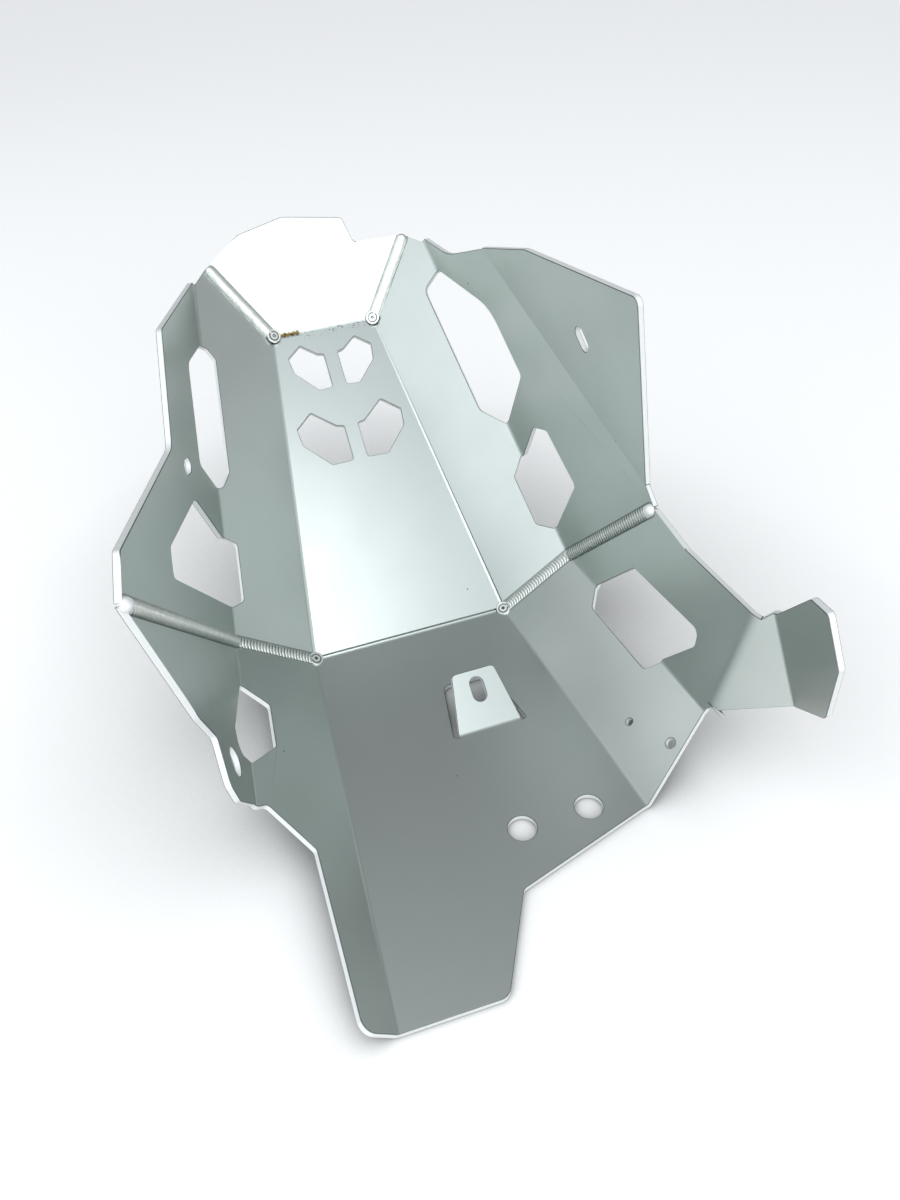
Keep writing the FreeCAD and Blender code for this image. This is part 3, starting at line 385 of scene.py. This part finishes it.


# Each run: its name, start, end and up; then the pitch of its ripples, its crown (how high
# it stands), its half width, how thick half a drop is in pitches, how uneven it came out,
# and how much painted shade darkens its ripples
runs = [
    ("weld_right_inner", FLOOR_CORNER, BEND_END, INNER_UP,
     2.3, 3.0, 4.8, 0.55, 0.3, 1.0),
    ("weld_right_outer", BEND_END, RIGHT_SEAM_END, OUTER_UP,
     2.8, 4.4, 4.6, 0.7, 0.3, 1.0),
    ("weld_left_inner", mirrored(FLOOR_CORNER), mirrored(BEND_END), mirrored(INNER_UP),
     2.5, 3.0, 4.8, 0.55, 0.3, 1.0),
    ("weld_left_outer", mirrored(BEND_END), mirrored(LEFT_SEAM_END), mirrored(OUTER_UP),
     2.0, 4.4, 4.6, 0.8, 0.4, 0.7),
    ("weld_right_crest", CREST_CORNER, CREST_END, CREST_UP,
     1.3, 4.4, 4.9, 2.6, 1.3, 0),
    ("weld_left_crest", mirrored(CREST_CORNER), mirrored(CREST_END), mirrored(CREST_UP),
     1.3, 4.4, 4.7, 2.6, 1.2, 0),
]
BEAD_RADIUS = 4
for name, start, end, *rest in runs:
    print(name, round((end - start).length, 1), "mm long")

# %% [markdown]
# ## The metals
# Bare rolled aluminium is a metal all over, with a broad soft gloss. A thin line of painted
# shade lies on both sides of each run, where the bead meets the sheet. The welder's torch
# left a brown burn beside the left end of the crest fold, and black specks along it. Each
# mark is a mask in the sheet's own colour, so that it lies exactly where the weld or the
# fold is.

# %% A metal
def metal(name, roughness, light, dark, cloud_size):
    """A material with a Principled shader, fed by the cloudy tone between two colours."""
    material = bpy.data.materials.new(name)
    material.use_nodes = True
    tree = material.node_tree
    shader = tree.nodes["Principled BSDF"]
    shader.inputs["Metallic"].default_value = 1
    tone = tree.nodes.new("ShaderNodeGroup")
    tone.node_tree = tone_group
    tone.inputs["Roughness"].default_value = roughness
    tone.inputs["Spread"].default_value = 0.04
    tone.inputs["Cloud Size"].default_value = cloud_size * MM
    tone.inputs["Light"].default_value = (*light, 1)
    tone.inputs["Dark"].default_value = (*dark, 1)
    tree.links.new(tone.outputs["Roughness"], shader.inputs["Roughness"])
    bump = tree.nodes.new("ShaderNodeBump")
    bump.inputs["Strength"].default_value = 0.06
    bump.inputs["Distance"].default_value = 0.1 * MM
    tree.links.new(tone.outputs["Grain"], bump.inputs["Height"])
    tree.links.new(bump.outputs["Normal"], shader.inputs["Normal"])
    return material, tree, shader, tone.outputs["Color"]


# %% Masks and stains
def add_line_mask(tree, start, end, radius, softness, output):
    """A mask round the line from start to end, all in millimetres."""
    node = tree.nodes.new("ShaderNodeGroup")
    node.node_tree = line_group
    node.inputs["Start"].default_value = start * MM
    node.inputs["End"].default_value = end * MM
    node.inputs["Radius"].default_value = radius * MM
    node.inputs["Softness"].default_value = softness * MM
    return node.outputs[output]


def add_specks(tree, spacing, size, share):
    """A mask of specks: how far apart, how large at most, and how many places have one."""
    node = tree.nodes.new("ShaderNodeGroup")
    node.node_tree = speck_group
    node.inputs["Spacing"].default_value = spacing * MM
    node.inputs["Size"].default_value = size * MM
    node.inputs["Share"].default_value = share
    return node.outputs["Mask"]


def stain(tree, base, mask, color):
    """Lays a colour over the base where the mask is 1."""
    node = tree.nodes.new("ShaderNodeMix")
    node.data_type = "RGBA"
    node.inputs["B"].default_value = (*color, 1)
    tree.links.new(mask, node.inputs["Factor"])
    tree.links.new(base, node.inputs["A"])
    return node.outputs["Result"]


# %% The rolled sheet and the painted shade beside each weld
# The dark line round each weld run and each stop is painted shade, in the groove where the bead
# meets the sheet
OXIDE = (0.06, 0.07, 0.065)
TOE_RADIUS, TOE_WIDTH = 4.8, 0.7
STOP_TOE_RADIUS, STOP_TOE_WIDTH = 5.6, 0.8
sheet_metal, tree, shader, color = metal(
    "rolled_sheet", 0.33, light=(0.585, 0.63, 0.605), dark=(0.545, 0.59, 0.565), cloud_size=30
)
toe_lines = None
for name, start, end, *rest in runs:
    toe = add_line_mask(tree, start, end, TOE_RADIUS, TOE_WIDTH, "Rim")
    toe_lines = toe if toe_lines is None else add_math(tree, "MAXIMUM", toe_lines, toe)
for corner in (FLOOR_CORNER, mirrored(FLOOR_CORNER), CREST_CORNER, mirrored(CREST_CORNER)):
    just_above = corner + Vector((0, 0, 0.01))
    toe = add_line_mask(tree, corner, just_above, STOP_TOE_RADIUS, STOP_TOE_WIDTH, "Rim")
    toe_lines = add_math(tree, "MAXIMUM", toe_lines, toe)
color = stain(tree, color, add_math(tree, "MULTIPLY", toe_lines, 0.85), OXIDE)
print("dark lines beside", len(runs), "runs")

# %% Soot along the crest fold
SOOT = (0.05, 0.05, 0.045)
crest_left, crest_right = mirrored(CREST_CORNER), CREST_CORNER
soot_fold = add_line_mask(tree, crest_left, crest_right, 4, 6, "Inside")
fine_specks = add_specks(tree, spacing=1.3, size=0.62, share=0.5)
color = stain(tree, color, add_math(tree, "MULTIPLY", soot_fold, fine_specks), SOOT)
print("fine specks along", round((crest_right - crest_left).length), "mm of fold")

# %% The burn beside the left stop
BURN_BROWN = (0.16, 0.11, 0.03)
CRUST_BLACK = (0.03, 0.025, 0.02)
burn_start = crest_left.lerp(crest_right, 0.09)
burn_end = crest_left.lerp(crest_right, 0.24)
burn = add_line_mask(tree, burn_start, burn_end, 1.8, 2.4, "Inside")
color = stain(tree, color, burn, BURN_BROWN)
crust = add_specks(tree, spacing=1.7, size=1.5, share=0.75)
color = stain(tree, color, add_math(tree, "MULTIPLY", burn, crust), CRUST_BLACK)
print("the burn is", round((burn_end - burn_start).length, 1), "mm long")

# %% Loose specks
SPATTER = (0.04, 0.04, 0.04)
color = stain(tree, color, add_specks(tree, spacing=17, size=0.75, share=0.35), SPATTER)
tree.links.new(color, shader.inputs["Base Color"])
print(sheet_metal.name, "has", len(tree.nodes), "nodes")

# %% The cut edges
# The cut faces get a matt finish; their near-white colour is partly their own and partly a
# painted highlight that keeps them bright under any light
cut_metal, tree, shader, color = metal(
    "cut_edge", 0.5, light=(0.93, 0.94, 0.93), dark=(0.86, 0.88, 0.87), cloud_size=6
)
shader.inputs["Metallic"].default_value = 0.35
tree.links.new(color, shader.inputs["Base Color"])
print(cut_metal.name, "is paler: the laser left it matt")

# %% The deburred corners
edge_metal, tree, shader, color = metal(
    "deburred_corner", 0.45, light=(0.26, 0.28, 0.27), dark=(0.18, 0.20, 0.19), cloud_size=6
)
tree.links.new(color, shader.inputs["Base Color"])
print(edge_metal.name, "makes the thin dark line round every cut")

# %% The weld metal
# The dark colour laid where the mesh attribute is high is painted shade: in the crescents
# between drops, and in the pinhole, sunken rim and foot of each stop
RIPPLE_OXIDE = (0.10, 0.11, 0.105)
weld_metal, tree, shader, color = metal(
    "weld_metal", 0.3, light=(0.92, 0.94, 0.91), dark=(0.80, 0.82, 0.78), cloud_size=5
)
soot = tree.nodes.new("ShaderNodeAttribute")
soot.attribute_name = "soot"
soot_share = tree.nodes.new("ShaderNodeMapRange")
soot_share.interpolation_type = "SMOOTHSTEP"
soot_share.inputs["From Min"].default_value = 0.1
soot_share.inputs["From Max"].default_value = 1.0
tree.links.new(soot.outputs["Fac"], soot_share.inputs["Value"])
color = stain(tree, color, soot_share.outputs["Result"], RIPPLE_OXIDE)
tree.links.new(color, shader.inputs["Base Color"])
print(weld_metal.name, "is shinier than the sheet")

# %% [markdown]
# ## Room for the ripples
# The CAD closes each seam with a plain round bead. The drops of the outer and crest runs
# are going to cover it. Those of the two inner runs are flatter, so the top of the round
# bead is pressed down there first. Its toes, where it meets the panels, stay in place.

# %% Which points lie on a round bead
ROUND_TOLERANCE = 0.08


def way_from_seam(point, start, end):
    """The way in millimetres to the point from the nearest place on the seam."""
    along = (end - start).normalized()
    way = point / MM - start
    return way - along * min(max(way.dot(along), 0), (end - start).length)


def is_on_round(vertex):
    """Whether the point lies on any of the round beads or on their round ends."""
    ways = [way_from_seam(vertex.co, start, end) for name, start, end, *rest in runs]
    return any(abs(way.length - BEAD_RADIUS) < ROUND_TOLERANCE for way in ways)


on_round = [is_on_round(vertex) for vertex in plate.data.vertices]
toes = set()
for face in plate.data.polygons:
    if not all(on_round[index] for index in face.vertices):
        toes.update(face.vertices)
print(sum(on_round), "points lie on the round beads")

# %% Press the plain beads down
PRESSED_TO = 0.6  # of the crown of the drops
bpy.ops.object.select_all(action="DESELECT")
plate.select_set(True)
bpy.context.view_layer.objects.active = plate
for name, start, end, up, pitch, crown, *rest in runs:
    if crown > BEAD_RADIUS:
        continue
    for part in (*plate.data.edges, *plate.data.polygons):
        part.select = False
    for vertex in plate.data.vertices:
        way = way_from_seam(vertex.co, start, end)
        before_end = way.dot((end - start).normalized()) < 0.05
        on_this = abs(way.length - BEAD_RADIUS) < ROUND_TOLERANCE
        is_top = way.dot(up) > 1
        vertex.select = on_this and before_end and is_top and vertex.index not in toes
    print(name, "presses down", sum(vertex.select for vertex in plate.data.vertices), "points")
    bpy.ops.object.mode_set(mode="EDIT")
    bpy.ops.mesh.select_mode(type="VERT")
    bpy.ops.transform.shrink_fatten(value=(PRESSED_TO * crown - BEAD_RADIUS) * MM)
    bpy.ops.object.mode_set(mode="OBJECT")

# %% [markdown]
# ## Breaking the sharp corners
# Only the rims of the cut edges are broken. They are sharper than any fold, and each lies
# beside a cut face, so both signs are asked for. The rims near a weld are left out: the
# bead covers them. A bevel weight of 1 marks the chosen rims for the Bevel modifier.

# %% Give the faces their metals and merge flat areas
SHEET, CUT, DEBURRED = 0, 1, 2
for finish in (sheet_metal, cut_metal, edge_metal):
    plate.data.materials.append(finish)
for index in cut_faces:
    plate.data.polygons[index].material_index = CUT
bpy.ops.object.select_all(action="DESELECT")
plate.select_set(True)
bpy.context.view_layer.objects.active = plate
bpy.ops.object.mode_set(mode="EDIT")
bpy.ops.mesh.select_all(action="SELECT")
bpy.ops.mesh.dissolve_limited(angle_limit=radians(0.3), delimit={"MATERIAL"})
bpy.ops.mesh.select_all(action="DESELECT")
bpy.ops.mesh.select_mode(type="EDGE")
bpy.ops.mesh.edges_select_sharp(sharpness=radians(55))
bpy.ops.object.mode_set(mode="OBJECT")
print("sharp edges:", sum(edge.select for edge in plate.data.edges))

# %% Keep only the rims
SLIVER = 0.05 * MM**2
rims = set()
for face in plate.data.polygons:
    if face.material_index == CUT and face.area > SLIVER:
        rims.update(plate.data.loops[corner].edge_index for corner in face.loop_indices)
for edge in plate.data.edges:
    ends = [plate.data.vertices[index].co for index in edge.vertices]
    reach = min(way_from_seam(point, run[1], run[2]).length for point in ends for run in runs)
    if reach < BEAD_RADIUS + 0.3 or edge.index not in rims:
        edge.select = False
bpy.ops.object.mode_set(mode="EDIT")
bpy.ops.transform.edge_bevelweight(value=1)
bpy.ops.object.mode_set(mode="OBJECT")
print("rims to break:", sum(edge.select for edge in plate.data.edges))

# %% Break them and shade the sheet
edges = plate.modifiers.new("deburred", "BEVEL")
edges.width, edges.segments = 0.45 * MM, 2
edges.limit_method, edges.material = "WEIGHT", DEBURRED
edges.use_clamp_overlap = False
bpy.ops.object.modifier_apply(modifier=edges.name)
bpy.ops.object.shade_smooth_by_angle(angle=radians(40))
for face in plate.data.polygons:
    if face.material_index == DEBURRED:
        for corner in face.loop_indices:
            plate.data.edges[plate.data.loops[corner].edge_index].use_edge_sharp = True
flatten = plate.modifiers.new("flat_panels", "WEIGHTED_NORMAL")
flatten.keep_sharp, flatten.weight = True, 100
bpy.ops.object.modifier_apply(modifier=flatten.name)
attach(plate, "root")
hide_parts("skid_plate")
print("the finished sheet:", len(plate.data.polygons), "faces")

# %% [markdown]
# ## The welds
# A weld of this kind is a row of overlapping drops, each a little further on than the
# last. One drop is a thin disc that leans along the run, so where two of them meet there
# is a crescent. Its lower half would come out on the far side of the sheet, so it is cut
# off. An Array modifier repeats the drop, and a Displace modifier takes away the
# evenness. The crescents are darkened with painted shade: an attribute of the mesh, which
# is 1 where a drop meets the next one, tells the material where they are.

# %% A run of drops
LEAN = radians(55)
STOP_LEAD = 4  # a run that begins at a stop has its first drop this far on


def lay_weld(name, start, end, up, pitch, crown, half_width, thickness, uneven, sooty):
    """A rippled bead from start to end. The drops lean away from the start."""
    along = (end - start).normalized()
    across = up.cross(along).normalized()
    half_thickness = thickness * pitch
    half_height = sqrt(crown**2 - (half_thickness * sin(LEAN)) ** 2) / cos(LEAN)
    bpy.ops.object.select_all(action="DESELECT")
    bpy.ops.mesh.primitive_uv_sphere_add(
        segments=24, ring_count=12, radius=MM, rotation=(0, radians(90), 0)
    )
    weld = bpy.context.active_object
    weld.name = name
    bpy.ops.object.transform_apply(location=False, rotation=True, scale=False)
    bpy.ops.object.mode_set(mode="EDIT")
    bpy.ops.mesh.select_all(action="SELECT")
    bpy.ops.transform.resize(value=(half_thickness, half_width, half_height))
    bpy.ops.transform.rotate(value=-LEAN, orient_axis="Y", center_override=(0, 0, 0))
    bpy.ops.mesh.bisect(plane_co=(0, 0, 0), plane_no=(0, 0, 1), use_fill=True, clear_inner=True)
    bpy.ops.object.mode_set(mode="OBJECT")
    thin, tall = half_thickness**-2, half_height**-2
    across_it = thin * cos(LEAN) ** 2 + tall * sin(LEAN) ** 2
    slant = sin(LEAN) * cos(LEAN) * (thin - tall) / across_it
    # The attribute rises across each drop towards the next one: painted shade on the step of
    # each ripple
    soot = weld.data.attributes.new("soot", "FLOAT", "POINT")
    for vertex, value in zip(weld.data.vertices, soot.data):
        value.value = sooty * (vertex.co.x - slant * vertex.co.z) / (0.5 * pitch * MM)
    row = weld.modifiers.new("row_of_drops", "ARRAY")
    row.use_relative_offset, row.use_constant_offset = False, True
    row.constant_offset_displace = (pitch * MM, 0, 0)
    row.count = int(((end - start).length - STOP_LEAD) / pitch)
    bpy.ops.object.modifier_apply(modifier=row.name)
    clouds = bpy.data.textures.new(name, "CLOUDS")
    clouds.noise_scale = 9 * MM
    wave = weld.modifiers.new("uneven", "DISPLACE")
    wave.texture, wave.strength, wave.mid_level = clouds, uneven * MM, 0.5
    bpy.ops.object.modifier_apply(modifier=wave.name)
    turn = Matrix((along, across, up)).transposed().to_4x4()
    first = start if name.endswith("outer") else start + STOP_LEAD * along
    weld.matrix_world = Matrix.Translation(first * MM) @ turn
    bpy.ops.object.transform_apply(location=True, rotation=True, scale=True)
    bpy.ops.object.shade_smooth()
    weld.data.materials.append(weld_metal)
    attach(weld, "root")
    return weld


for run in runs:
    weld = lay_weld(*run)
    lowest = min(vertex.co.z for vertex in weld.data.vertices)
    print(weld.name, len(weld.data.polygons), "faces, lowest at", round(lowest / MM, 2), "mm")

# %% [markdown]
# ## The stops at the corners
# Each fold ends in a drilled relief hole. The welder filled it last and left a round
# button with a sunken rim and a pinhole in its middle, where the arc went out.

# %% One stop
STOP_RADIUS, STOP_HEIGHT = 5.3, 3.4
bpy.ops.object.select_all(action="DESELECT")
bpy.ops.mesh.primitive_cylinder_add(vertices=40, radius=STOP_RADIUS * MM, depth=STOP_HEIGHT * MM)
stop = bpy.context.active_object
bpy.ops.object.mode_set(mode="EDIT")
bpy.ops.mesh.select_mode(type="FACE")
bpy.ops.object.mode_set(mode="OBJECT")
for part in (*stop.data.vertices, *stop.data.edges, *stop.data.polygons):
    part.select = False
max(stop.data.polygons, key=lambda face: face.center.z).select = True
bpy.ops.object.mode_set(mode="EDIT")
# From the rim inwards: how wide each ring is, and how far the next one lies above it
for inset, drop in ((0.9, 0.0), (0.9, -0.35), (1.3, 0.15), (1.5, 0.1), (0.35, -0.9)):
    bpy.ops.mesh.inset(thickness=inset * MM, depth=0)
    bpy.ops.transform.translate(value=(0, 0, drop * MM))
bpy.ops.object.mode_set(mode="OBJECT")
print("one stop:", len(stop.data.polygons), "faces before its corners are softened")

# %% Painted shade in its pinhole, its rim and at its foot
PINHOLE_RADIUS = 0.7
RIM_FROM, RIM_TO = 3.3, 4.0
FOOT_BELOW = 0.4
# The pinhole, the sunken rim and the foot of the stop get painted shade, where shade falls in
# the hollows
sooty_rings = stop.data.attributes.new("soot", "FLOAT", "POINT")
for vertex, value in zip(stop.data.vertices, sooty_rings.data):
    reach, height = vertex.co.xy.length / MM, vertex.co.z / MM
    sooty = reach < PINHOLE_RADIUS or RIM_FROM < reach < RIM_TO or height < FOOT_BELOW
    value.value = 1.0 if sooty else 0.0
soften = stop.modifiers.new("soften", "BEVEL")
soften.width, soften.segments = 0.7 * MM, 3
soften.limit_method, soften.angle_limit = "ANGLE", radians(60)
bpy.ops.object.modifier_apply(modifier=soften.name)
bpy.ops.object.shade_smooth()
print("one stop:", len(stop.data.polygons), "faces")

# %% Four stops
FLOOR_STOP_UP = Vector((-0.32, -0.357, 0.877))
CREST_STOP_UP = Vector((-0.24, -0.757, 0.606))
FLOOR_LIFT, CREST_LIFT = 1.4, 2.9  # how far the middle of a stop lies above its corner
stops = [
    ("stop_right_floor", FLOOR_CORNER, FLOOR_STOP_UP, FLOOR_LIFT),
    ("stop_left_floor", mirrored(FLOOR_CORNER), mirrored(FLOOR_STOP_UP), FLOOR_LIFT),
    ("stop_right_crest", CREST_CORNER, CREST_STOP_UP, CREST_LIFT),
    ("stop_left_crest", mirrored(CREST_CORNER), mirrored(CREST_STOP_UP), CREST_LIFT),
]
for name, corner, up, lift in stops:
    button = stop.copy()
    button.data = stop.data.copy()
    button.name = name
    scene.collection.objects.link(button)
    upright = up.to_track_quat("Z", "Y").to_matrix().to_4x4()
    raised = Matrix.Translation((0, 0, lift * MM))
    button.data.transform(Matrix.Translation(corner * MM) @ upright @ raised)
    button.data.materials.append(weld_metal)
    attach(button, "root")
    print(name, "at", tuple(round(v, 1) for v in corner))
bpy.data.objects.remove(stop)
